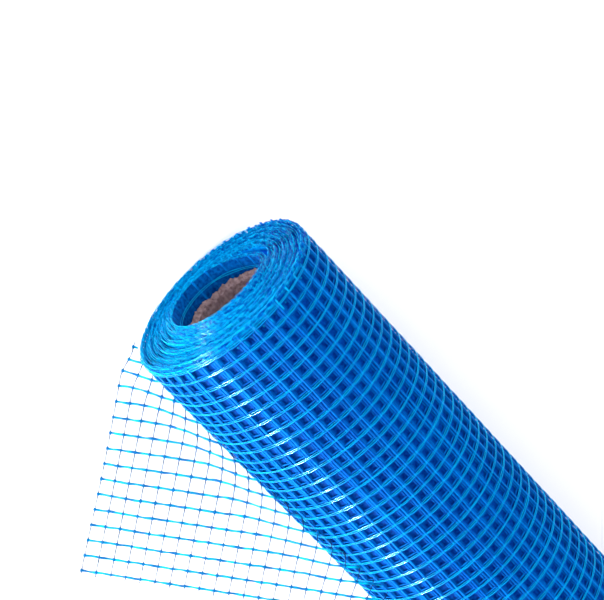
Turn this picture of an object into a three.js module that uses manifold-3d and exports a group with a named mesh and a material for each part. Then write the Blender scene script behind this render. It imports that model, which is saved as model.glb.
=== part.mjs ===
// A roll of coated glass-fibre mesh on a cardboard core, lying on the floor with the near
// corner of its outer turn pulled off the roll.
// Millimetres, +Z up. The roll's axis runs along X and its near end faces -X. The loose end
// reaches out to -Y and its corner touches the floor. The origin is under the middle of the
// bounding box, at floor level.
import * as THREE from 'three';
import Module from 'manifold-3d';
import { mergeVertices } from 'three/addons/utils/BufferGeometryUtils.js';

const wasm = await Module();
wasm.setup();
const { Manifold, Mesh: SolidMesh } = wasm;

// Roll of wound mesh.
const rollLength = 1000;      // width of the mesh on the roll
const rollRadius = 62.5;      // outside of the outer turn
const boreRadius = 31;        // inside of the innermost turn
const turnCount = 16;         // turns between the bore and the outside
const nearTelescope = 4;      // how unevenly the turns end at the near end
const farTelescope = 2;       // the same at the far end

// Cardboard core.
const coreGap = 0.3;          // between the core and the innermost turn
const coreWall = 3.2;
const coreRecessNear = 10;    // how far the core stops inside the near end
const coreRecessFar = 6;

// Loose end. Rows are the yarns along the roll, columns the yarns around it.
const rowPitch = 10;          // from row to row, along a column
const columnPitch = 9.15;     // from column to column, along a row
const looseRows = 16;         // rows off the roll at the near edge
const looseColumns = 20;      // columns off the roll along the cut edge
const sheetThickness = 1.2;
const tipAhead = 83.8;        // free corner, measured along the roll from its near end
const tipOut = 170;           // free corner, measured sideways from the roll's axis
const rowHeading = 37.9;      // degrees in plan that a row turns away from the roll's axis
const rowRise = 29.2;         // degrees that a row climbs, going along the roll
const columnRise = 7.9;       // degrees that a column climbs, going towards the roll
const bendRowsNear = 3.6;     // rows over which the sheet bends to meet the roll, near edge
const bendRowsFar = 2.5;      // the same at the last loose column
const bendReach = 20;         // how far the sheet follows the roll's side before it bends
const bendEase = 0.45;        // share of the bend's chord over which the flat part runs on
const attachLow = 37.7;       // degrees below the axis where the sheet leaves, near end
const attachHigh = 22.3;      // degrees above the axis where it leaves, last loose column
const attachBow = 17;         // how much the leaving line bows between the two
const attachStart = 1;        // first leaving point, measured from the near end
const attachRun = 204;        // along the roll from the first leaving point to the last
const attachLag = 60;         // how much of that run falls in the leaving line's second half

// Facets.
const roundSteps = 60;
const sheetColumnSteps = 16;
const sheetFlatSteps = 6;
const sheetBendSteps = 10;

const radians = (degrees) => (degrees * Math.PI) / 180;
const axisHeight = rollRadius * Math.cos(Math.PI / roundSteps);

/** Turn a profile of [radius, along] points about the X axis, with a flat facet underneath. */
function turned(profile) {
  const points = profile.map(([radius, along]) => new THREE.Vector2(radius, along));
  const geometry = new THREE.LatheGeometry(points, roundSteps, Math.PI / roundSteps);
  geometry.deleteAttribute('normal');
  geometry.deleteAttribute('uv');
  geometry.rotateZ(-Math.PI / 2);
  geometry.translate(0, 0, axisHeight);
  return mergeVertices(geometry, 1e-4);
}

/** Profile of the wound mesh: each turn is a land, set back by its own amount at each end. */
function rollProfile() {
  const pitch = (rollRadius - boreRadius) / turnCount;
  const near = [];
  const far = [];
  for (let turn = 0; turn < turnCount; turn += 1) {
    const inner = boreRadius + turn * pitch;
    const wander = 0.5 - 0.3 * Math.cos(1.1 * turn) - 0.2 * Math.cos(2.7 * turn);
    const setBack = nearTelescope * (turn % 2 === 0 ? wander : 0.55 * wander);
    near.push([inner, setBack], [inner + pitch, setBack]);
    const farBack = turn % 2 === 0 ? 0 : farTelescope;
    far.push([inner, rollLength - farBack], [inner + pitch, rollLength - farBack]);
  }
  return [...near, ...far.reverse(), near[0]];
}

/** Profile of the core, closed on itself. */
function coreProfile() {
  const outer = boreRadius - coreGap;
  const inner = outer - coreWall;
  const start = coreRecessNear;
  const end = rollLength - coreRecessFar;
  return [[inner, start], [outer, start], [outer, end], [inner, end], [inner, start]];
}

// Directions of the yarns in the flat part of the loose end.
const rowWay = new THREE.Vector3(
  Math.cos(radians(rowHeading)) * Math.cos(radians(rowRise)),
  Math.sin(radians(rowHeading)) * Math.cos(radians(rowRise)),
  Math.sin(radians(rowRise)),
);
const columnWay = new THREE.Vector3(
  -Math.sin(radians(rowHeading)) * Math.cos(radians(columnRise)),
  Math.cos(radians(rowHeading)) * Math.cos(radians(columnRise)),
  Math.sin(radians(columnRise)),
);

/** A point of the flat part, in mm along the cut edge and in from it. */
function flatPoint(along, inward) {
  const normal = rowWay.clone().cross(columnWay).normalize();
  const lift = (sheetThickness / 2) * normal.z;
  return new THREE.Vector3(tipAhead, -tipOut, lift)
    .addScaledVector(rowWay, along)
    .addScaledVector(columnWay, inward);
}

/** Where a column leaves the roll, just under its surface, and its upward way there. */
function leavingPoint(share) {
  const bow = share * (1 - share);
  const below = radians(attachLow - share * (attachLow + attachHigh) - attachBow * bow);
  const radius = rollRadius - 1.6 * sheetThickness;
  const point = new THREE.Vector3(
    attachStart + share * attachRun - attachLag * bow,
    -radius * Math.cos(below),
    axisHeight - radius * Math.sin(below),
  );
  const upward = new THREE.Vector3(0, -Math.sin(below), Math.cos(below));
  return { point, upward };
}

/** Centre line of one column, from the cut edge to just inside the roll. */
function columnLine(share) {
  const along = share * looseColumns * columnPitch;
  const { point, upward } = leavingPoint(share);
  const bendRows = bendRowsNear + share * (bendRowsFar - bendRowsNear);
  const free = Math.max(looseRows * (1 - share) - bendRows, 0.3) * rowPitch;
  const bendStart = flatPoint(along, free);
  const ease = bendEase * bendStart.distanceTo(point);
  const flatHandle = bendStart.clone().addScaledVector(columnWay, ease);
  const rollHandle = point.clone().addScaledVector(upward, Math.min(bendReach, ease));
  const bend = new THREE.CubicBezierCurve3(bendStart, flatHandle, rollHandle, point);
  const line = [];
  for (let step = 0; step < sheetFlatSteps; step += 1) {
    line.push(flatPoint(along, (free * step) / sheetFlatSteps));
  }
  for (let step = 0; step <= sheetBendSteps; step += 1) {
    line.push(bend.getPoint(step / sheetBendSteps));
  }
  return line;
}

/** The loose end as a closed solid of even thickness. */
function looseSheet() {
  const lines = [];
  for (let step = 0; step <= sheetColumnSteps; step += 1) {
    lines.push(columnLine(step / sheetColumnSteps));
  }
  const across = lines.length;
  const down = lines[0].length;
  const at = (i, j) => lines[Math.min(Math.max(i, 0), across - 1)][Math.min(Math.max(j, 0), down - 1)];
  const positions = [];
  for (const side of [1, -1]) {
    for (let i = 0; i < across; i += 1) {
      for (let j = 0; j < down; j += 1) {
        const alongWay = at(i + 1, j).clone().sub(at(i - 1, j));
        const inWay = at(i, j + 1).clone().sub(at(i, j - 1));
        const normal = alongWay.cross(inWay).normalize();
        const point = at(i, j).clone().addScaledVector(normal, (side * sheetThickness) / 2);
        positions.push(point.x, point.y, point.z);
      }
    }
  }
  const under = across * down;
  const index = [];
  const quad = (a, b, c, d) => index.push(a, b, c, a, c, d);
  for (let i = 0; i < across - 1; i += 1) {
    for (let j = 0; j < down - 1; j += 1) {
      const a = i * down + j;
      quad(a, a + down, a + down + 1, a + 1);
      quad(under + a, under + a + 1, under + a + down + 1, under + a + down);
    }
  }
  for (let i = 0; i < across - 1; i += 1) {
    const a = i * down;
    quad(a, under + a, under + a + down, a + down);
    const b = a + down - 1;
    quad(b, b + down, under + b + down, under + b);
  }
  for (let j = 0; j < down - 1; j += 1) {
    quad(j, j + 1, under + j + 1, under + j);
    const b = (across - 1) * down + j;
    quad(b, under + b, under + b + 1, b + 1);
  }
  const geometry = new THREE.BufferGeometry();
  geometry.setAttribute('position', new THREE.Float32BufferAttribute(positions, 3));
  geometry.setIndex(index);
  return geometry;
}

/** Join closed solids into one. */
function joined(geometries) {
  const solids = geometries.map((geometry) => new Manifold(new SolidMesh({
    numProp: 3,
    vertProperties: new Float32Array(geometry.attributes.position.array),
    triVerts: new Uint32Array(geometry.index.array),
  })));
  const mesh = Manifold.union(solids).getMesh();
  const geometry = new THREE.BufferGeometry();
  geometry.setAttribute('position', new THREE.Float32BufferAttribute(mesh.vertProperties, 3));
  geometry.setIndex(new THREE.Uint32BufferAttribute(mesh.triVerts, 1));
  return geometry;
}

const blueMesh = new THREE.MeshStandardMaterial({ name: 'blue_mesh', color: 0x0b6fd0, roughness: 0.55 });
const cardboard = new THREE.MeshStandardMaterial({ name: 'cardboard', color: 0x8c6f68, roughness: 0.9 });

const roll = new THREE.Mesh(joined([turned(rollProfile()), looseSheet()]), blueMesh);
roll.name = 'mesh_roll';
const core = new THREE.Mesh(turned(coreProfile()), cardboard);
core.name = 'core_tube';

// Put the origin under the middle of the bounding box.
roll.geometry.computeBoundingBox();
const centre = roll.geometry.boundingBox.getCenter(new THREE.Vector3());
const floor = roll.geometry.boundingBox.min.z;
const part = new THREE.Group();
for (const piece of [roll, core]) {
  piece.geometry.translate(-centre.x, -centre.y, -floor);
  piece.geometry.computeVertexNormals();
  part.add(piece);
}

export default part;
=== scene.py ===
"""Dresses the roll of blue glass-fibre mesh: wound yarns, end turns, torn core and loose corner.

Everything is in metres in the CAD model's frame: +X along the roll from its near end, +Z up, and
the loose corner on the -Y side. An angle around the roll is counted from the top towards -Y.
"""
import logging
import math
from dataclasses import dataclass, field
from enum import Enum

import bpy
import numpy as np
from mathutils import Matrix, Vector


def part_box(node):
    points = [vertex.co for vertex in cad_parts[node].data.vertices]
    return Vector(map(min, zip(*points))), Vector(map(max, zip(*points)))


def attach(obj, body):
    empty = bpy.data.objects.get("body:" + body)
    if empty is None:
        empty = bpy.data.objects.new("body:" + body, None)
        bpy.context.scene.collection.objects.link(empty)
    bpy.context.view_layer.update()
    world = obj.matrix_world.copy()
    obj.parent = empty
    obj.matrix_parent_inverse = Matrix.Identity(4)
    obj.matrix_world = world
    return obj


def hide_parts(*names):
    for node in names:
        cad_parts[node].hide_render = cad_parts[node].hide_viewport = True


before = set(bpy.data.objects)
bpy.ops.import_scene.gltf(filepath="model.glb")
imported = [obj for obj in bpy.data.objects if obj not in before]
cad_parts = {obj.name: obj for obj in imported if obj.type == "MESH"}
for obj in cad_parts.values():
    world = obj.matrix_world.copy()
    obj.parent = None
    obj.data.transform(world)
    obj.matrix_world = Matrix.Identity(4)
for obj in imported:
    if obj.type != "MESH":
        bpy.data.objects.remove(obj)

MM = 0.001
SECTIONS = {
    3: np.array([[-1.0, -0.6], [1.0, -0.6], [0.0, 1.0]]),
    4: np.array([[-1.0, -1.0], [1.0, -1.0], [1.0, 1.0], [-1.0, 1.0]]),
}
Array = np.ndarray
log = logging.getLogger("mesh_roll")


# ---------------------------------------------------------------- surfaces

@dataclass
class Surface:
    """Vertices and four-sided faces of a piece, as whole arrays."""

    points: Array
    faces: Array
    tone: Array

    @staticmethod
    def merged(parts: list["Surface"]) -> "Surface":
        """Puts several surfaces into one, with their faces renumbered.

        Args:
            parts: the surfaces to put together.

        Returns:
            One surface that holds them all.
        """
        starts = np.cumsum([0] + [len(part.points) for part in parts[:-1]])
        return Surface(
            np.vstack([part.points for part in parts]),
            np.vstack([part.faces + start for part, start in zip(parts, starts)]),
            np.concatenate([part.tone for part in parts]),
        )

    def piece(self, name: str, finish: bpy.types.Material, slot: str,
              replaces: str | None = None) -> bpy.types.Object:
        """Makes the Blender object, dresses it and lets it ride on the root body.

        Args:
            name: the piece's name.
            finish: its material.
            slot: the name of its material slot; not used.
            replaces: the CAD node that it stands for, if any.

        Returns:
            The new object.
        """
        mesh = bpy.data.meshes.new(name)
        mesh.vertices.add(len(self.points))
        mesh.vertices.foreach_set("co", np.ascontiguousarray(self.points, np.float32).ravel())
        mesh.loops.add(self.faces.size)
        mesh.loops.foreach_set("vertex_index", np.ascontiguousarray(self.faces, np.int32).ravel())
        mesh.polygons.add(len(self.faces))
        mesh.polygons.foreach_set("loop_start", np.arange(0, self.faces.size, 4, dtype=np.int32))
        mesh.polygons.foreach_set("use_smooth", np.ones(len(self.faces), bool))
        tone = mesh.attributes.new("tone", "FLOAT", "POINT")
        tone.data.foreach_set("value", np.ascontiguousarray(self.tone, np.float32))
        mesh.materials.append(finish)
        mesh.update(calc_edges=True)
        mesh.validate()
        thing = bpy.data.objects.new(name, mesh)
        bpy.context.scene.collection.objects.link(thing)
        if replaces:
            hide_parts(replaces)
        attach(thing, "root")
        log.info("%s: %d faces", name, len(self.faces))
        return thing


def unit(vectors: Array) -> Array:
    """Vectors scaled to length one.

    Args:
        vectors: an array whose last axis holds x, y and z.

    Returns:
        The same directions, one long.
    """
    return vectors / np.maximum(np.linalg.norm(vectors, axis=-1, keepdims=True), 1e-12)


def yarn(paths: Array, ups: Array, half_width: Array | float, half_height: Array | float,
         tone: Array | float = 0.5, sides: int = 4, closed: bool = False) -> Surface:
    """Carries a small section along many paths at once.

    At each path point the section lies across the tangent, with its width along tangent x up and its
    height along up. It is a triangle or a rectangle, which smooth shading rounds.

    Args:
        paths: points of every yarn, shaped (yarns, points, 3).
        ups: the way the height points, broadcast to the same shape.
        half_width: half the section's width, for all or per point.
        half_height: half the section's height, for all or per point.
        tone: a shade from 0 to 1, for all, per yarn or per point.
        sides: corners of the section, 3 or 4.
        closed: whether each path runs back to its start.

    Returns:
        The surface of all the yarns, capped where they are open.
    """
    count, steps, _ = paths.shape
    if closed:
        along = np.roll(paths, -1, axis=1) - np.roll(paths, 1, axis=1)
    else:
        along = np.gradient(paths, axis=1)
    along = unit(along)
    across = unit(np.cross(along, np.broadcast_to(ups, paths.shape)))
    over = np.cross(across, along)
    corners = SECTIONS[sides]
    width = np.broadcast_to(half_width, (count, steps))[..., None, None]
    height = np.broadcast_to(half_height, (count, steps))[..., None, None]
    points = (paths[:, :, None] + across[:, :, None] * width * corners[:, :1]
              + over[:, :, None] * height * corners[:, 1:])
    number = np.arange(count * steps * sides).reshape(count, steps, sides)
    nxt = np.roll(number, -1, axis=1) if closed else number[:, 1:]
    cur = number if closed else number[:, :-1]
    faces = np.stack([cur, nxt, np.roll(nxt, -1, axis=2), np.roll(cur, -1, axis=2)], axis=-1).reshape(-1, 4)
    if not closed:
        faces = np.vstack([faces, number[:, 0], number[:, -1][:, ::-1]])
    shade = np.asarray(tone, float)
    shade = shade[:, None] if shade.ndim == 1 else shade
    shade = np.broadcast_to(shade, (count, steps))[..., None]
    return Surface(points.reshape(-1, 3), faces, np.broadcast_to(shade, (count, steps, sides)).reshape(-1))


def grid(points: Array, tone: Array | float = 0.5, closed: bool = True) -> Surface:
    """A surface over two parameters: face (i, j) joins points i, i+1 and j, j+1.

    Args:
        points: an array shaped (rows, columns, 3), whose columns run around when closed.
        tone: a shade from 0 to 1.
        closed: whether the last column joins the first.

    Returns:
        The surface.
    """
    rows, columns, _ = points.shape
    number = np.arange(rows * columns).reshape(rows, columns)
    right = np.roll(number, -1, axis=1) if closed else number[:, 1:]
    left = number if closed else number[:, :-1]
    faces = np.stack([left[:-1], right[:-1], right[1:], left[1:]], axis=-1).reshape(-1, 4)
    shade = np.broadcast_to(tone, (rows, columns)).reshape(-1).astype(float)
    return Surface(points.reshape(-1, 3), faces, shade)


def wave(values: Array, seed: float, waves: int = 3) -> Array:
    """A smooth wander between -1 and 1: a mean of sines of unrelated lengths and phases.

    Args:
        values: where to work it out.
        seed: shifts the phases, so that each use wanders its own way.
        waves: how many sines are added.

    Returns:
        The wander at each value.
    """
    order = np.arange(1, waves + 1)
    phase = 12.9898 * (seed + 1.7) * order
    return np.sin(np.asarray(values)[..., None] * order + phase).mean(axis=-1)


# ---------------------------------------------------------------- finishes

class Gloss(Enum):
    """How shiny a finish is: its roughness and its specular level."""

    GLINTING = (0.19, 0.16)
    BRIGHT = (0.2, 0.03)
    SATIN = (0.42, 0.008)
    DULL = (0.7, 0.005)
    FIBROUS = (0.95, 0.03)


@dataclass(frozen=True)
class YarnFinish:
    """Coated yarn or torn board, mottled between a deep and a bright colour."""

    name: str
    deep: tuple[float, float, float]
    bright: tuple[float, float, float]
    gloss: Gloss = Gloss.SATIN
    grain: float = 900.0
    bump: float = 0.25
    mottle: float = 0.5
    sheen: tuple[float, float, float, float] = (0.35, 0.8, 1.0, 1.0)

    def material(self) -> bpy.types.Material:
        """Builds the node material.

        The piece's own tone, shifted by a mottle on Object coordinates, picks a colour from deep to
        bright. The same mottle is the bump.

        Returns:
            The material.
        """
        made = bpy.data.materials.new(self.name)
        made.use_nodes = True
        nodes, links = made.node_tree.nodes, made.node_tree.links
        shader = nodes["Principled BSDF"]
        place = nodes.new("ShaderNodeTexCoord")
        noise = nodes.new("ShaderNodeTexNoise")
        noise.inputs["Scale"].default_value = self.grain
        noise.inputs["Detail"].default_value = 3.0
        centred = nodes.new("ShaderNodeMath")
        centred.operation = "SUBTRACT"
        centred.inputs[1].default_value = 0.5
        tone = nodes.new("ShaderNodeAttribute")
        tone.attribute_name = "tone"
        shifted = nodes.new("ShaderNodeMath")
        shifted.operation = "MULTIPLY_ADD"
        shifted.inputs[1].default_value = 2 * self.mottle
        blend = nodes.new("ShaderNodeMix")
        blend.data_type = "RGBA"
        blend.inputs[6].default_value = (*self.deep, 1)
        blend.inputs[7].default_value = (*self.bright, 1)
        bump = nodes.new("ShaderNodeBump")
        bump.inputs["Strength"].default_value = self.bump
        bump.inputs["Distance"].default_value = 0.0002
        links.new(place.outputs["Object"], noise.inputs["Vector"])
        links.new(noise.outputs["Fac"], centred.inputs[0])
        links.new(centred.outputs[0], shifted.inputs[0])
        links.new(tone.outputs["Fac"], shifted.inputs[2])
        links.new(shifted.outputs[0], blend.inputs[0])
        links.new(blend.outputs[2], shader.inputs["Base Color"])
        links.new(noise.outputs["Fac"], bump.inputs["Height"])
        links.new(bump.outputs["Normal"], shader.inputs["Normal"])
        rough, mirror = self.gloss.value
        shader.inputs["Roughness"].default_value = rough
        shader.inputs["Specular IOR Level"].default_value = mirror
        shader.inputs["Specular Tint"].default_value = self.sheen
        made.diffuse_color = (*self.bright, 1)
        return made


HOOP = YarnFinish("hoop_yarn", (0.0, 0.23, 0.65), (0.0, 0.52, 0.9), Gloss.GLINTING)
ROW = YarnFinish("row_yarn", (0.0, 0.055, 0.34), (0.0, 0.18, 0.62), Gloss.SATIN, grain=500)
# Turns beneath the outer one: a darker copy of the row yarn, as painted shade.
DEEP_SHADE = YarnFinish("deep_yarn_shade", (0.0, 0.05, 0.3), (0.0, 0.15, 0.55), Gloss.DULL, grain=500)
# Packed turns: the blue yarn painted dark navy, as shade deep inside the roll.
PACKED_SHADE = YarnFinish("packed_turns_shade", (0.0, 0.012, 0.13), (0.0, 0.065, 0.4), Gloss.DULL,
                    grain=700, bump=0.8, mottle=1.0)
EDGE = YarnFinish("turn_edge", (0.0, 0.045, 0.36), (0.0, 0.53, 0.93), Gloss.BRIGHT,
                  grain=600, bump=0.5, mottle=0.7)
WALL = YarnFinish("turn_wall", (0.0, 0.07, 0.4), (0.0, 0.34, 0.85), Gloss.SATIN,
                  grain=420, bump=0.4, mottle=0.8)
# Bore yarn: its deep end is used as painted shade inside the bore.
BORE = YarnFinish("bore_mesh", (0.0, 0.018, 0.12), (0.0, 0.15, 0.55), Gloss.SATIN, grain=500, bump=0.4)
LOOSE_ROW = YarnFinish("loose_row", (0.0, 0.1, 0.3), (0.0, 0.38, 0.58), Gloss.SATIN, grain=1200)
# Loose columns: the same blue yarn as the hoops, painted near black as the shade of unlit yarn.
LOOSE_COLUMN_SHADE = YarnFinish("loose_column", (0.004, 0.02, 0.06), (0.012, 0.05, 0.13), Gloss.DULL,
                          grain=1500)
KNOT = YarnFinish("binding", (0.0, 0.07, 0.24), (0.0, 0.17, 0.42), Gloss.SATIN, grain=1500)
BOARD = YarnFinish("torn_board", (0.08, 0.049, 0.055), (0.3, 0.21, 0.22), Gloss.FIBROUS,
                   grain=500, bump=0.9, mottle=0.8)


@dataclass(frozen=True)
class FloorFinish:
    """A plain pale floor."""

    name: str = "pale_floor"
    shade: float = 0.92

    def material(self) -> bpy.types.Material:
        """Builds the floor's material, in one plain shade.

        Returns:
            The material.
        """
        made = bpy.data.materials.new(self.name)
        made.use_nodes = True
        shader = made.node_tree.nodes["Principled BSDF"]
        shader.inputs["Base Color"].default_value = (self.shade, self.shade, self.shade, 1)
        shader.inputs["Roughness"].default_value = 0.9
        return made


# ---------------------------------------------------------------- the roll

@dataclass
class RollFrame:
    """Sizes and place of the wound roll, read from the CAD core and stated beside it."""

    length: float = 1000 * MM
    radius: float = 62.5 * MM
    bore: float = 31 * MM
    row_pitch: float = 10 * MM
    hoop_count: int = 114
    row_count: int = 39
    near: float = field(init=False)
    far: float = field(init=False)
    axis_y: float = field(init=False)
    axis_z: float = field(init=False)

    def __post_init__(self) -> None:
        """Takes the axis and the ends from the CAD nodes' boxes."""
        low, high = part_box("core_tube")
        self.axis_y = (low[1] + high[1]) / 2
        self.axis_z = (low[2] + high[2]) / 2
        low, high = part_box("mesh_roll")
        self.near, self.far = low[0], high[0]

    def around(self, along: Array, radius: Array, angle: Array) -> Array:
        """Points on the roll: x along, y = axis - radius sin(angle), z = axis + radius cos(angle).

        Args:
            along: distance from the near end.
            radius: distance from the axis.
            angle: angle from the top towards -Y, in radians.

        Returns:
            The points, with x, y and z on a last axis.
        """
        along, radius, angle = np.broadcast_arrays(along, radius, angle)
        return np.stack([self.near + along, self.axis_y - radius * np.sin(angle),
                         self.axis_z + radius * np.cos(angle)], axis=-1)

    def painted_shade_by_angle(self, angle: Array, low: float, rise: float) -> Array:
        """A painted shade: low near the top, where the turns' meshes line up, and rising to painted light
        on both flanks.

        Args:
            angle: angle from the top towards -Y, in radians.
            low: the shade where the meshes line up.
            rise: how much it rises.

        Returns:
            low + rise (1 - exp(-(away / 40 degrees) squared)), where away is counted from 10 degrees.
        """
        away = np.angle(np.exp(1j * (np.asarray(angle) - math.radians(10))))
        return low + rise * (1 - np.exp(-(away / math.radians(40)) ** 2))

    def outward(self, points: Array) -> Array:
        """Directions straight away from the axis at each point.

        Args:
            points: the points, with x, y and z on the last axis.

        Returns:
            The directions, one long.
        """
        away = points.copy()
        away[..., 0] = 0
        away[..., 1] -= self.axis_y
        away[..., 2] -= self.axis_z
        return unit(away)


@dataclass
class OuterTurns:
    """The outer turns' yarns: pairs of thin hoops over flat rows, and plainer turns beneath."""

    roll: RollFrame
    turn_step: float = 0.55 * MM
    pair_gap: float = 1.15 * MM
    hoop_half: tuple[float, float] = (0.18 * MM, 0.17 * MM)
    flat_half: tuple[float, float] = (0.72 * MM, 0.12 * MM)
    row_half: tuple[float, float] = (0.7 * MM, 0.14 * MM)
    hoop_shift: tuple[float, ...] = (0.0, 0.13, -0.14, 0.22, -0.02)
    row_shift: tuple[float, ...] = (0.0, 0.17, -0.16, 0.28, -0.26)
    aligned_at: float = -0.15
    hoop_start: float = 5 * MM
    hoop_margin: float = 3 * MM
    row_start: float = 0.9 * MM
    tuck: float = 1.1 * MM
    tuck_run: float = 3 * MM
    skew: float = 2.2 * MM

    def radius(self, turn: int) -> float:
        """Radius of a turn's rows.

        Args:
            turn: 0 for the outermost turn.

        Returns:
            The radius, one turn step less for each turn inwards.
        """
        return self.roll.radius - 0.5 * MM - turn * self.turn_step

    def row_angles(self, turn: int) -> Array:
        """Angles of a turn's rows: equal arcs of the row pitch, lined up with the other turns near the top.

        Args:
            turn: 0 for the outermost turn.

        Returns:
            The angles from the top towards -Y, in radians.
        """
        step = self.roll.row_pitch / self.radius(turn)
        number = np.arange(-int(math.pi / step), int(math.pi / step) + 1)
        return self.aligned_at + (number + self.row_shift[turn]) * step

    def hoop_places(self, turn: int) -> Array:
        """Distances of the hoops from the near end, evenly spaced with a small wander.

        Args:
            turn: 0 for the outermost turn.

        Returns:
            The distances, kept off both ends.
        """
        step = (self.roll.length - 2 * self.hoop_start) / (self.roll.hoop_count - 1)
        number = np.arange(self.roll.hoop_count)
        places = self.hoop_start + number * step + 0.05 * step * wave(number * 0.9, 3.0 + turn)
        shifted = places + self.hoop_shift[turn] * step
        return np.clip(shifted, self.hoop_margin, self.roll.length - self.hoop_margin)

    def hoops(self, turn: int, steps: int, pair: bool) -> Surface:
        """Closed yarns around the roll at one turn's radius.

        Each hoop is a circle of the turn's radius with a slow radial and sideways wander. The yarns
        of a pair part between rows and meet on each row, as |sin| of half the row count does.

        Args:
            turn: 0 for the outermost turn.
            steps: points around each hoop.
            pair: whether two yarns run side by side.

        Returns:
            The hoops' surface.
        """
        angle = np.linspace(0, 2 * np.pi, steps, endpoint=False)[None]
        places = self.hoop_places(turn)[:, None]
        number = np.arange(len(places))[:, None]
        radius = self.radius(turn) + 0.2 * MM + 0.1 * MM * wave(angle + number * 0.37, 1.0 + turn)
        sideways = 0.3 * MM * wave(angle + number * 1.3, 5.0 + turn) - self.skew * np.sin(angle)
        parted = np.abs(np.sin((angle - self.aligned_at) * self.roll.row_count / 2)) ** 0.5
        parts = []
        for side in ((-1, 1) if pair else (0,)):
            uneven = 1 + 0.3 * wave(angle * 3 + number * 2.1, 8.0)
            gap = side * self.pair_gap / 2 * (0.35 + 0.65 * parted) * uneven
            paths = self.roll.around(places + sideways + gap, radius, angle)
            # Deeper turns are painted darker, as shade.
            shade = 0.6 + 0.3 * wave(angle * 2 + number * 1.9, 4.0 + side) - 0.08 * turn
            half = self.hoop_half if pair else self.flat_half
            parts.append(yarn(paths, self.roll.outward(paths), *half, shade, sides=3, closed=True))
        return Surface.merged(parts)

    def rows(self, turn: int, per_cell: int) -> Surface:
        """Flat yarns along the roll, a little narrower where the hoops bind them.

        Args:
            turn: 0 for the outermost turn.
            per_cell: points from one hoop to the next.

        Returns:
            The rows' surface.
        """
        cells = self.roll.hoop_count - 1
        steps = cells * per_cell + 1
        along = np.linspace(self.row_start, self.roll.length - self.row_start, steps)[None]
        angle = self.row_angles(turn)[:, None]
        number = np.arange(len(angle))[:, None]
        angle = (angle + 0.012 * wave(along * 9 + number * 0.8, 2.0 + turn)
                 + 0.004 * wave(along * 70 + number, 6.0))
        inside = np.minimum(along, self.roll.length - along)
        radius = (self.radius(turn) + 0.08 * MM * wave(along * 30 + number, 7.0)
                  - self.tuck * np.exp(-inside / self.tuck_run))
        lean = self.skew * np.sin(angle) * np.sin(np.pi * along / self.roll.length) ** 0.2
        paths = self.roll.around(along - lean, radius, angle)
        cell = (along - self.hoop_start) / (self.roll.length - 2 * self.hoop_start) * cells
        width = self.row_half[0] * (1 - 0.2 * np.cos(2 * np.pi * cell))
        # Painted shade: darker near the top and on deeper turns, and painted lighter on the flanks.
        shade = (self.roll.painted_shade_by_angle(angle, 0.38, 0.3) + 0.25 * wave(along * 25 + number * 3.1, 9.0 + turn)
                 - 0.09 * turn)
        return yarn(paths, self.roll.outward(paths), width, self.row_half[1], shade, sides=4)

    def build(self, hoop_finish: bpy.types.Material, row_finish: bpy.types.Material,
              deep_shade_finish: bpy.types.Material) -> None:
        """Makes the outermost hoops and rows, and the turns beneath them in two pieces.

        Args:
            hoop_finish: material of the outermost hoops.
            row_finish: material of the outermost rows.
            deep_shade_finish: material of the turns beneath, a darker copy painted as shade.
        """
        self.hoops(0, 117, True).piece("outer_hoops", hoop_finish, "blue_mesh", "mesh_roll")
        self.rows(0, 2).piece("outer_rows", row_finish, "blue_mesh", "mesh_roll")
        for name, turns in (("second_turns", (1, 2)), ("inner_turns", (3, 4))):
            parts = [self.hoops(turn, 64, False) for turn in turns]
            parts += [self.rows(turn, 1) for turn in turns]
            Surface.merged(parts).piece(name, deep_shade_finish, "blue_mesh", "mesh_roll")


@dataclass
class WoundBody:
    """What shows between the outer turns' yarns: the packed turns, painted dark as shade, closed round the
    bore.
    """

    roll: RollFrame
    depth: float = 3.1 * MM
    end_inset: float = 6.5 * MM
    steps: int = 120

    def surface(self) -> Surface:
        """A closed ring section carried round the axis.

        The section runs along the bore, out over the far end, back along the outside and in again.

        Returns:
            The body's surface.
        """
        inner, outer = self.roll.bore + 0.6 * MM, self.roll.radius - self.depth
        start, end = self.end_inset, self.roll.length - self.end_inset
        run, rise = np.linspace(start, end, 60), np.linspace(inner, outer, 8)
        along = np.concatenate([run, [end] * 6, run[::-1], [start] * 6, [start]])
        radius = np.concatenate([np.full(60, inner), rise[1:-1], np.full(60, outer), rise[::-1][1:-1],
                                 [inner]])
        angle = np.linspace(0, 2 * np.pi, self.steps, endpoint=False)
        points = self.roll.around(along[:, None], radius[:, None], angle[None])
        # Painted shade: darkest near the top, painted lighter towards both flanks.
        return grid(points, self.roll.painted_shade_by_angle(angle, 0.3, 0.65))

    def build(self, finish: bpy.types.Material) -> None:
        """Makes the body.

        Args:
            finish: its material.
        """
        self.surface().piece("wound_body", finish, "blue_mesh", "mesh_roll")


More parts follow.
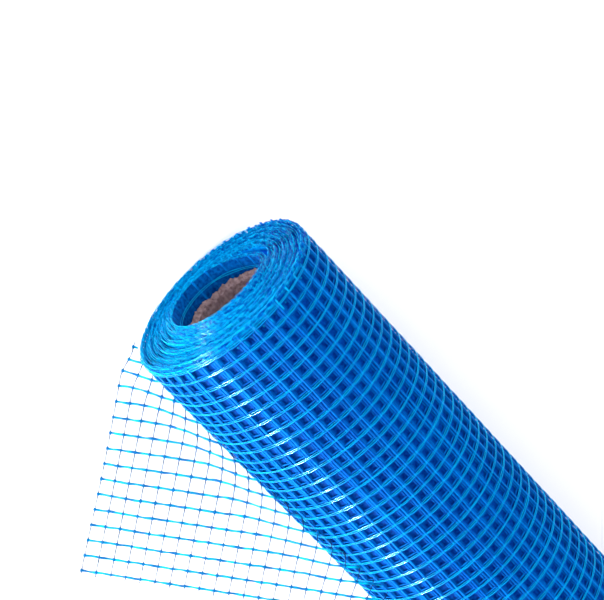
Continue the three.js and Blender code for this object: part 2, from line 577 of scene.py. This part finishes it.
@dataclass
class EndTurns:
    """The turns' edges at one end: crinkled selvage cords, the turns' walls and the rows' stubs."""

    roll: RollFrame
    name: str
    far: bool = False
    turns: int = 30
    cord_half: tuple[float, float] = (0.21 * MM, 0.2 * MM)
    cord_places: tuple[float, ...] = (0.0, 0.8 * MM, 1.7 * MM)
    crinkle: float = 0.4 * MM
    wall_half: float = 2.2 * MM
    bare_turns: int = 3
    telescope: float = 2.4 * MM
    proud: float = 5.2 * MM
    gap: float = 4.2 * MM
    gap_at: float = math.radians(256)
    gap_turn: int = 4
    # The face is painted darker towards this angle, as shade.
    painted_shade_side: float = math.radians(303)
    steps: int = 204

    def turn_radius(self, turn: Array, angle: Array) -> Array:
        """Radius of each turn: evenly spaced, crowded in places, with one loose gap near the bore.

        Args:
            turn: turn numbers, 0 at the bore.
            angle: angle from the top towards -Y, in radians.

        Returns:
            The radius for every turn and angle.
        """
        pitch = (self.roll.radius - self.roll.bore - 0.6 * MM) / self.turns
        even = self.roll.bore + 0.4 * MM + pitch * (turn + 0.5)
        crowd = (0.5 * pitch * wave(angle * 2 + turn * 0.45, 2.0)
                 + 0.25 * pitch * wave(angle * 5 + turn * 1.7, 3.0))
        away = np.angle(np.exp(1j * (angle - self.gap_at)))
        share = np.clip((self.turns - 1 - turn) / (self.turns - self.gap_turn), 0, 1)
        push = np.where(turn >= self.gap_turn, self.gap * share ** 1.5, -0.15 * MM)
        return even + crowd * np.clip(turn / 3, 0.2, 1) + push * np.exp(-(away / 0.6) ** 2)

    def set_back(self, turn: Array, angle: Array) -> Array:
        """How far each turn's edge stays inside the roll's end; the inner turns stand proud of it.

        Args:
            turn: turn numbers, 0 at the bore.
            angle: angle from the top towards -Y, in radians.

        Returns:
            The distance inwards, less than zero where a turn stands proud.
        """
        wander = 0.5 + 0.32 * np.sin(1.1 * turn + 0.6) + 0.14 * np.sin(2.7 * turn)
        away = np.angle(np.exp(1j * (angle - self.gap_at)))
        proud = self.proud * np.exp(-(turn / 11) ** 2) * (1 - np.exp(-(away / 0.87) ** 2))
        wander = wander + 0.2 * wave(angle * 2 + turn * 0.9, 5.0)
        return self.telescope * wander * np.clip(turn / 3, 0.15, 1) - proud

    def place(self, along: Array, radius: Array, angle: Array) -> Array:
        """Points of this end, whose face leans a little like the hoops do.

        Args:
            along: distance from this end's face.
            radius: distance from the axis.
            angle: angle from the top towards -Y, in radians.

        Returns:
            The points, with x, y and z on a last axis.
        """
        along = self.roll.length - along if self.far else along
        return self.roll.around(along - 1.5 * MM * np.sin(angle), radius, angle)

    def turn_tone_and_painted_shade(self, turn: Array, angle: Array) -> Array:
        """A change of shade from turn to turn, and a slow painted shade round the face, darker at one side.

        Args:
            turn: turn numbers, 0 at the bore.
            angle: angle from the top towards -Y, in radians.

        Returns:
            What is added to the shade.
        """
        return 0.3 * np.sin(2.4 * turn + 0.6 * np.sin(angle)) - 0.17 * np.cos(angle - self.painted_shade_side)

    def cords(self) -> Surface:
        """Crinkled cords round every turn: circles with short waves along and across the roll.

        Returns:
            The cords' surface.
        """
        angle = np.linspace(0, 2 * np.pi, self.steps, endpoint=False)[None]
        turn = np.arange(self.turns)[:, None].astype(float)
        place, radius = self.set_back(turn, angle), self.turn_radius(turn, angle)
        parts = []
        for number, shift in enumerate(self.cord_places):
            ripple = self.crinkle * (wave(angle * 19 + turn * 1.1, 6.0 + number)
                                     + 0.8 * wave(angle * 43 + turn * 3, 7.0))
            lean = 0.5 * self.crinkle * wave(angle * 23 + turn * 2.1, 3.0 + number)
            # Cords further into the roll are painted darker, as shade, and the side shade is painted on
            # them too.
            shade = (0.5 + 0.4 * wave(angle * 13 + turn * 2.3, 1.0 + number) - 0.12 * number
                     + self.turn_tone_and_painted_shade(turn, angle))
            paths = self.place(place + ripple + shift, radius + lean, angle)
            out = self.roll.outward(paths)
            parts.append(yarn(paths, out, *self.cord_half, shade, sides=3, closed=True))
        return Surface.merged(parts)

    def walls(self) -> Surface:
        """Each turn's own wall just behind its cords, as thin closed bands.

        Returns:
            The walls' surface.
        """
        angle = np.linspace(0, 2 * np.pi, 96, endpoint=False)[None]
        turn = np.arange(self.turns - self.bare_turns)[:, None].astype(float)
        middle = self.set_back(turn, angle) + 1.6 * MM + self.wall_half
        paths = self.place(middle, self.turn_radius(turn, angle), angle)
        # The walls take the painted side shade as well.
        shade = 0.4 + 0.3 * wave(angle * 3 + turn * 1.9, 4.0) + self.turn_tone_and_painted_shade(turn, angle)
        return yarn(paths, self.roll.outward(paths), self.wall_half, 0.05 * MM, shade, sides=4, closed=True)

    def stubs(self) -> Surface:
        """The rows' cut ends, near every turn's edge.

        Returns:
            The stubs' surface.
        """
        turn, number = np.meshgrid(np.arange(self.turns, dtype=float), np.arange(self.roll.row_count),
                                   indexing="ij")
        turn, number = turn.reshape(-1, 1), number.reshape(-1, 1)
        angle = 2 * np.pi * (number + 0.9 * np.sin(turn * 1.3)) / self.roll.row_count
        start = (0.3 + 0.45 * np.sin(number * 2.7 + turn * 5.1)) * MM
        reach = np.linspace(0, 1, 4)[None] * 8 * MM + start
        paths = self.place(self.set_back(turn, angle) + reach, self.turn_radius(turn, angle) + 0 * reach,
                           angle + 0 * reach)
        shade = 0.5 + 0.35 * wave(angle * 3 + turn, 2.0)
        return yarn(paths, self.roll.outward(paths), 0.42 * MM, 0.14 * MM, shade, sides=4)

    def build(self, edge_finish: bpy.types.Material, wall_finish: bpy.types.Material) -> None:
        """Makes the cords with their stubs, and the walls behind them.

        Args:
            edge_finish: material of the cords and the stubs.
            wall_finish: material of the walls.
        """
        edges = Surface.merged([self.cords(), self.stubs()])
        edges.piece(f"{self.name}_edges", edge_finish, "blue_mesh", "mesh_roll")
        self.walls().piece(f"{self.name}_walls", wall_finish, "blue_mesh", "mesh_roll")


@dataclass
class BoreMesh:
    """The innermost turn where it shows in the bore: a wall, bars along it and a pair of hoops."""

    roll: RollFrame
    end: EndTurns
    depth: float = 20 * MM
    hoop_place: float = 8.5 * MM

    def build(self, wall_finish: bpy.types.Material, hoop_finish: bpy.types.Material) -> None:
        """Makes the wall with its bars, and the hoops.

        Args:
            wall_finish: material of the wall and its bars.
            hoop_finish: material of the hoops.
        """
        angle = np.linspace(0, 2 * np.pi, 120, endpoint=False)[None]
        edge = self.end.set_back(np.zeros((1, 1)), angle)
        half = (self.depth - edge) / 2 - 0.4 * MM
        paths = self.end.place(edge + 0.8 * MM + half, self.roll.bore + 0.45 * MM, angle)
        # The wall's low tone paints it dark, as shade inside the bore.
        parts = [yarn(paths, self.roll.outward(paths), half, 0.06 * MM, 0.25, sides=4, closed=True)]
        bar = 2 * np.pi * (np.arange(19)[:, None] + 0.3) / 19
        reach = np.linspace(0, 1, 6)[None]
        start = self.end.set_back(0 * bar, bar)
        along = start + (self.depth - start) * reach
        paths = self.end.place(along, self.roll.bore + 0.25 * MM, bar + 0 * reach)
        # Bars are painted darker the deeper they run into the bore, as shade.
        shade = 0.75 + 0.25 * wave(bar * 5 + 0 * reach, 2.0) - 0.5 * reach
        parts.append(yarn(paths, self.roll.outward(paths), 0.75 * MM, 0.12 * MM, shade, sides=4))
        Surface.merged(parts).piece("bore_wall", wall_finish, "blue_mesh", "mesh_roll")
        hoops = []
        for side in (-0.5, 0.5):
            spread = 1.1 * MM * side * (1 + 0.5 * wave(angle * 4, 3.0))
            paths = self.end.place(edge + self.hoop_place + spread, self.roll.bore + 0.1 * MM, angle)
            shade = 0.55 + 0.4 * wave(angle * 6, 4.0 + side)
            out = self.roll.outward(paths)
            hoops.append(yarn(paths, out, 0.17 * MM, 0.14 * MM, shade, sides=3, closed=True))
        Surface.merged(hoops).piece("bore_hoops", hoop_finish, "blue_mesh", "mesh_roll")


@dataclass
class CutEdge:
    """Where the outer turn ends on the roll, past the loose corner: its last row and cut tails."""

    roll: RollFrame
    start: float = 214 * MM
    angle: float = math.radians(91)

    def build(self, finish: bpy.types.Material) -> None:
        """Makes the row and the tails in one piece.

        Args:
            finish: their material.
        """
        run = np.linspace(self.start, self.roll.length, 180)[None]
        wander = 0.01 * wave(run * 20, 1.0)
        paths = self.roll.around(run, self.roll.radius - 0.2 * MM, self.angle + wander)
        parts = [yarn(paths, self.roll.outward(paths), 0.6 * MM, 0.15 * MM, 0.6, sides=4)]
        place = np.arange(self.start, self.roll.length, self.roll.length / self.roll.hoop_count)[:, None]
        reach = np.linspace(0, 1, 4)[None]
        fall = (2.6 + 0.9 * np.sin(place * 900)) * MM / self.roll.radius
        along = place + 0.5 * MM * reach * np.sin(place * 700)
        paths = self.roll.around(along, self.roll.radius + 0.35 * MM * reach, self.angle + fall * reach)
        parts.append(yarn(paths, self.roll.outward(paths), 0.16 * MM, 0.16 * MM, 0.5, sides=4))
        Surface.merged(parts).piece("cut_edge", finish, "blue_mesh", "mesh_roll")


@dataclass
class TornCore:
    """The cardboard tube, with a torn near edge."""

    roll: RollFrame
    gap: float = 0.3 * MM
    wall: float = 3.2 * MM
    near_recess: float = 10.4 * MM
    slant: float = 2.0 * MM
    slant_at: float = math.radians(280)
    far_recess: float = 6 * MM
    tear: float = 2.0 * MM
    steps: int = 420

    def surface(self) -> Surface:
        """A ring section whose near edge wanders by the tear's depth as it goes round.

        The edge's plies end at different depths, each with its own finer jags.

        Returns:
            The tube's surface.
        """
        angle = np.linspace(0, 2 * np.pi, self.steps, endpoint=False)
        rip = self.tear * (0.3 * wave(angle * 3, 1.0) + 0.4 * wave(angle * 9, 2.0)
                           + 0.3 * wave(angle * 31, 3.0))
        outer = self.roll.bore - self.gap
        inner = outer - self.wall
        start = self.near_recess + self.slant * np.cos(angle - self.slant_at) + rip
        end = self.roll.length - self.far_recess
        ply = np.array([0, 0.3, 0.3, 0.65, 0.65, 1.0])[:, None]
        back = np.array([2.6, 2.1, 1.2, 0.8, 0.1, 0.0])[:, None] * MM
        jag = 0.55 * MM * wave(angle * 23 + ply * 40, 4.0)
        near = start + back + jag
        run = np.linspace(0, 1, 24)[1:, None]
        back_run = np.linspace(0, 1, 24)[:, None]
        along = [near, near[-1] + (end - near[-1]) * run, end + (near[0] - end) * back_run]
        radius = [inner + ply * self.wall + 0 * angle, np.full((23, self.steps), outer),
                  np.full((24, self.steps), inner)]
        points = self.roll.around(np.vstack(along), np.vstack(radius), angle[None])
        return grid(points[::-1], 0.5)

    def build(self, finish: bpy.types.Material) -> None:
        """Makes the tube.

        Args:
            finish: its material.
        """
        self.surface().piece("torn_core", finish, "cardboard", "core_tube")


# ---------------------------------------------------------------- the loose corner

@dataclass
class LooseCorner:
    """The near corner of the outer turn, off the roll: flat, then bending up its side."""

    roll: RollFrame
    rows: int = 16
    columns: int = 20
    column_pitch: float = 9.15 * MM
    tip_ahead: float = 83.8 * MM
    tip_out: float = 170 * MM
    row_heading: float = math.radians(37.9)
    row_rise: float = math.radians(29.2)
    column_rise: float = math.radians(7.9)
    bend_rows: tuple[float, float] = (3.6, 2.5)
    bend_reach: float = 20 * MM
    bend_ease: float = 0.45
    attach_low: float = math.radians(37.7)
    attach_high: float = math.radians(22.3)
    attach_bow: float = math.radians(17)
    attach_start: float = 1 * MM
    attach_run: float = 204 * MM
    attach_lag: float = 60 * MM
    thickness: float = 1.2 * MM
    row_half: tuple[float, float] = (0.78 * MM, 0.15 * MM)
    yarn_half: float = 0.18 * MM
    knot_half: tuple[float, float, float] = (0.85 * MM, 1.25 * MM, 0.36 * MM)

    def ways(self) -> tuple[Array, Array]:
        """Directions of the rows and of the columns in the flat part.

        Returns:
            The row way and the column way, each one long.
        """
        h, r, c = self.row_heading, self.row_rise, self.column_rise
        row = np.array([math.cos(h) * math.cos(r), math.sin(h) * math.cos(r), math.sin(r)])
        column = np.array([-math.sin(h) * math.cos(c), math.cos(h) * math.cos(c), math.sin(c)])
        return row, column

    def lines(self, share: Array, steps: int = 80) -> tuple[Array, Array]:
        """Column lines from the cut edge to the roll: a straight run, then a cubic curve.

        The curve starts along the flat part and ends along the roll's side.

        Args:
            share: which columns, as shares of the loose columns.
            steps: points along each line.

        Returns:
            The lines' points, shaped (columns, steps, 3), and the length up to each point.
        """
        row, column = self.ways()
        normal = unit(np.cross(row, column))
        share = np.asarray(share, float)[:, None]
        tip = np.array([self.roll.near + self.tip_ahead, self.roll.axis_y - self.tip_out,
                        self.thickness / 2 * normal[2]])
        along = share * self.columns * self.column_pitch
        bend = self.bend_rows[0] + share * (self.bend_rows[1] - self.bend_rows[0])
        free = np.maximum(self.rows * (1 - share) - bend, 0.3) * self.roll.row_pitch
        begin = tip + along * row + free * column
        bow = share * (1 - share)
        below = self.attach_low - share * (self.attach_low + self.attach_high) - self.attach_bow * bow
        radius = self.roll.radius - 1.2 * MM
        place = self.attach_start + share * self.attach_run - self.attach_lag * bow
        finish = self.roll.around(place, radius, np.pi / 2 + below)[:, 0]
        upward = np.concatenate([0 * below, -np.sin(below), np.cos(below)], axis=1)
        ease = self.bend_ease * np.linalg.norm(begin - finish, axis=1)[:, None]
        handles = begin + column * ease, finish + upward * np.minimum(self.bend_reach, ease)
        t = np.linspace(0, 1, steps // 2)[None, :, None]
        straight = (tip + along * row)[:, None] + (free * t[0, :-1, 0])[..., None] * column
        curve = ((1 - t) ** 3 * begin[:, None] + 3 * t * (1 - t) ** 2 * handles[0][:, None]
                 + 3 * t ** 2 * (1 - t) * handles[1][:, None] + t ** 3 * finish[:, None])
        points = np.concatenate([straight, curve], axis=1)
        length = np.linalg.norm(np.diff(points, axis=1), axis=2)
        length = np.concatenate([0 * along, np.cumsum(length, axis=1)], axis=1)
        rise = length / (self.rows * self.roll.row_pitch)
        bow_in = 1.7 * MM * np.sin(np.pi * np.clip(rise, 0, 1) ** 1.2) * np.exp(-share * self.columns / 1.3)
        proud = -4.6 * MM * np.clip((rise * self.rows + 0.8 * share * self.columns - 13) / 2, 0, 1) ** 2
        proud = proud * np.exp(-share * self.columns / 2.2)
        sag = 0.8 * MM * wave(share * 9 + rise * 5, 2.0)
        sag = sag * np.clip(rise * 4, 0, 1)
        return points + (bow_in + proud)[..., None] * row + sag[..., None] * normal, length

    def at(self, lines: Array, lengths: Array, wanted: Array) -> Array:
        """Points at a wanted length along each line, between its own points.

        Args:
            lines: the lines' points.
            lengths: the length up to each point.
            wanted: lengths per line, shaped (columns, wanted).

        Returns:
            The points, shaped (columns, wanted, 3).
        """
        return np.stack([np.stack([np.interp(w, s, line[:, axis]) for axis in range(3)], axis=-1)
                         for line, s, w in zip(lines, lengths, wanted)])

    def row_strip(self, row: int, share: Array, lines: Array, lengths: Array) -> Surface | None:
        """One row as a flat, slightly wavy ribbon that lies in the sheet.

        Args:
            row: its number, from the cut edge.
            share: the lines' places.
            lines: the lines' points.
            lengths: the length up to each point.

        Returns:
            The ribbon, or nothing where the row is already on the roll.
        """
        reach = row * self.roll.row_pitch
        last = int(np.count_nonzero(lengths[:, -1] > reach + 1 * MM))
        if last < 3:
            return None
        pair = self.at(lines[:last], lengths[:last], np.full((last, 1), reach) + np.array([[0, 1]]) * MM)
        tangent = unit(np.gradient(pair[:, 0], axis=0))
        inward = unit(pair[:, 1] - pair[:, 0])
        up = unit(np.cross(tangent, inward))
        cell = share[:last] * self.columns
        path = pair[:, 0] + 0.22 * MM * wave(cell * 2.1 + row * 1.7, 2.0)[:, None] * inward
        path[0] -= 0.9 * MM * tangent[0]
        middle = np.sin(np.pi * cell) ** 2
        width = self.row_half[0] * (1 + 0.22 * wave(cell * 2.6 + row * 2.9, 3.0) - 0.12 * middle)
        shade = 0.25 + 0.5 * middle + 0.8 * wave(cell * 1.9 + row * 4.3, 4.0)
        return yarn(path[None], up[None], width[None], self.row_half[1], shade[None], sides=4)

    def column_pair(self, number: int, line: Array, length: Array, normal: Array, column: Array) -> Surface:
        """One column: two thin yarns twisted round each other, with cut tails.

        Args:
            number: its number, from the near edge.
            line: its centre line.
            length: the length up to each of its points.
            normal: the flat part's normal.
            column: the flat part's column way.

        Returns:
            The two yarns.
        """
        total = length[-1]
        tail = -(2.4 + 1.1 * math.sin(number * 2.3)) * MM
        wanted = np.linspace(0, total, max(int(total / (self.roll.row_pitch / 6)), 4))
        points = self.at(line[None], length[None], wanted[None])[0]
        points = np.vstack([points[0] + column * tail, points])
        where = np.append(tail, wanted)
        tangent = unit(np.gradient(points, axis=0))
        side = unit(np.cross(tangent, np.broadcast_to(normal, points.shape)))
        up = np.cross(side, tangent)
        turn = np.pi * where / self.roll.row_pitch + 0.4
        twist = 0.14 * MM * (np.cos(turn)[:, None] * side + np.sin(turn)[:, None] * up)
        shade = (0.5 + 0.3 * wave(where * 400 + number, 5.0))[None]
        half = self.yarn_half
        return Surface.merged([yarn((points + sign * twist)[None], up[None], half, half, shade)
                               for sign in (-1, 1)])

    def knots(self, centres: Array, up: Array, along: Array) -> Surface:
        """Small lens-shaped bindings: short yarns whose section swells and closes again.

        Args:
            centres: the crossings.
            up: the sheet's normal.
            along: the columns' way.

        Returns:
            The knots' surface.
        """
        t = np.linspace(-1, 1, 5)
        swell = np.sqrt(np.maximum(1 - t ** 2, 0.08))
        size = 1 + 0.2 * wave(np.arange(len(centres)) * 2.7, 1.0)[:, None]
        paths = centres[:, None] + (t * self.knot_half[1] * size)[..., None] * along
        half = swell * size
        return yarn(paths, up, self.knot_half[0] * half, self.knot_half[2] * half, 0.4, sides=4)

    def build(self, row_finish: bpy.types.Material, column_shade_finish: bpy.types.Material,
              knot_finish: bpy.types.Material) -> None:
        """Makes the rows, the columns' paired yarns with their cut tails, and the knots.

        Args:
            row_finish: material of the rows.
            column_shade_finish: material of the columns, painted dark as shade.
            knot_finish: material of the knots.
        """
        share = np.linspace(0, 1, self.columns * 6 + 1)
        lines, lengths = self.lines(share)
        row, column = self.ways()
        normal = unit(np.cross(row, column))
        strips = [self.row_strip(number, share, lines, lengths) for number in range(self.rows)]
        strips = [strip for strip in strips if strip is not None]
        Surface.merged(strips).piece("loose_rows", row_finish, "blue_mesh", "mesh_roll")
        every = slice(None, None, 6)
        threads = [self.column_pair(number, line, length, normal, column)
                   for number, (line, length) in enumerate(zip(lines[every], lengths[every]))]
        Surface.merged(threads).piece("loose_columns", column_shade_finish, "blue_mesh", "mesh_roll")
        crossings = np.arange(self.rows) * self.roll.row_pitch
        spots = [self.at(line[None], length[None], crossings[None, crossings < length[-1] - 1 * MM])[0]
                 for line, length in zip(lines[every], lengths[every])]
        knots = self.knots(np.vstack(spots), normal, column)
        knots.piece("loose_knots", knot_finish, "blue_mesh", "mesh_roll")


# ---------------------------------------------------------------- studio

@dataclass
class Studio:
    """The floor, the lights and the photograph's camera."""

    roll: RollFrame
    focal_px: float = 2637.52
    width_px: float = 604.0
    place: tuple[float, float, float] = (-0.61485, -0.25008, 1.46994)
    right: tuple[float, float, float] = (0.62096544, 0.65985107, 0.42308212)
    up: tuple[float, float, float] = (-0.66405704, 0.72963019, -0.1633035)
    back: tuple[float, float, float] = (-0.41644948, -0.17954484, 0.89125388)

    def camera(self) -> None:
        """Puts the camera where the roll's silhouettes, rim and yarns place it."""
        data = bpy.data.cameras.new("photo_view")
        data.sensor_width = 36.0
        data.lens = self.focal_px / self.width_px * 36.0
        data.clip_end = 100.0
        view = bpy.data.objects.new("photo_view", data)
        axes = Matrix((self.right, self.up, self.back)).transposed().to_4x4()
        spot = (self.roll.near + self.place[0], self.roll.axis_y + self.place[1], self.place[2])
        view.matrix_world = Matrix.Translation(spot) @ axes
        bpy.context.scene.collection.objects.link(view)
        bpy.context.scene.camera = view

    def light(self, name: str, place: tuple[float, float, float], power: float, size: float,
              glints_only: bool = False) -> None:
        """A soft square lamp that faces the near part of the roll.

        Args:
            name: the lamp's name.
            place: where it stands, from under the roll's near end.
            power: its power in watts.
            size: its side in metres.
            glints_only: whether it only shows as a reflection in the yarns.
        """
        data = bpy.data.lights.new(name, "AREA")
        data.energy, data.size = power, size
        lamp = bpy.data.objects.new(name, data)
        aim = np.array([self.roll.near + 0.2, self.roll.axis_y, self.roll.axis_z])
        spot = aim + np.array(place)
        back = unit(spot - aim)
        side = unit(np.cross([0.0, 0.0, 1.0], back))
        rise = np.cross(back, side)
        turn = Matrix((tuple(side), tuple(rise), tuple(back))).transposed().to_4x4()
        lamp.matrix_world = Matrix.Translation(tuple(spot)) @ turn
        lamp.visible_diffuse = not glints_only
        lamp.visible_glossy = glints_only
        bpy.context.scene.collection.objects.link(lamp)

    def floor(self) -> None:
        """A wide plane just under the part."""
        points = np.array([[-6, -6, 0], [6, -6, 0], [6, 6, 0], [-6, 6, 0]], float) - [0, 0, 0.0004]
        mesh = bpy.data.meshes.new("floor")
        mesh.from_pydata(points.tolist(), [], [(0, 1, 2, 3)])
        mesh.materials.append(FloorFinish().material())
        plane = bpy.data.objects.new("floor", mesh)
        bpy.context.scene.collection.objects.link(plane)

    def build(self) -> None:
        """Makes the camera, the floor, the lamps and a pale surround."""
        scene = bpy.context.scene
        self.camera()
        self.floor()
        self.light("side_lamp", (-0.4, -1.7, 0.5), 28, 0.7)
        self.light("front_lamp", (-1.6, -0.5, 0.8), 12, 0.7)
        self.light("top_lamp", (-0.5, 0.3, 2.0), 11, 1.6)
        self.light("glint_lamp", (-0.3, -1.7, 0.55), 2400, 0.35, glints_only=True)
        world = bpy.data.worlds.new("pale_surround")
        world.use_nodes = True
        sky = world.node_tree.nodes["Background"]
        sky.inputs["Color"].default_value = (1, 1, 1, 1)
        sky.inputs["Strength"].default_value = 1.25
        scene.world = world
        scene.view_settings.view_transform = "Standard"


def main() -> None:
    """Builds the studio and the roll's pieces in order."""
    logging.basicConfig(level=logging.INFO, format="%(name)s %(message)s")
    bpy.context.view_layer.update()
    roll = RollFrame()
    Studio(roll).build()
    hoop, row, deep, packed = HOOP.material(), ROW.material(), DEEP_SHADE.material(), PACKED_SHADE.material()
    edge, wall, bore, board = EDGE.material(), WALL.material(), BORE.material(), BOARD.material()
    loose_row, loose_column, knot = LOOSE_ROW.material(), LOOSE_COLUMN_SHADE.material(), KNOT.material()
    near_end = EndTurns(roll, "near_end")
    WoundBody(roll).build(packed)
    OuterTurns(roll).build(hoop, row, deep)
    near_end.build(edge, wall)
    EndTurns(roll, "far_end", far=True, proud=0.0, gap=0.0).build(edge, wall)
    BoreMesh(roll, near_end).build(bore, hoop)
    TornCore(roll).build(board)
    CutEdge(roll).build(row)
    LooseCorner(roll).build(loose_row, loose_column, knot)


if __name__ == "__main__":
    main()
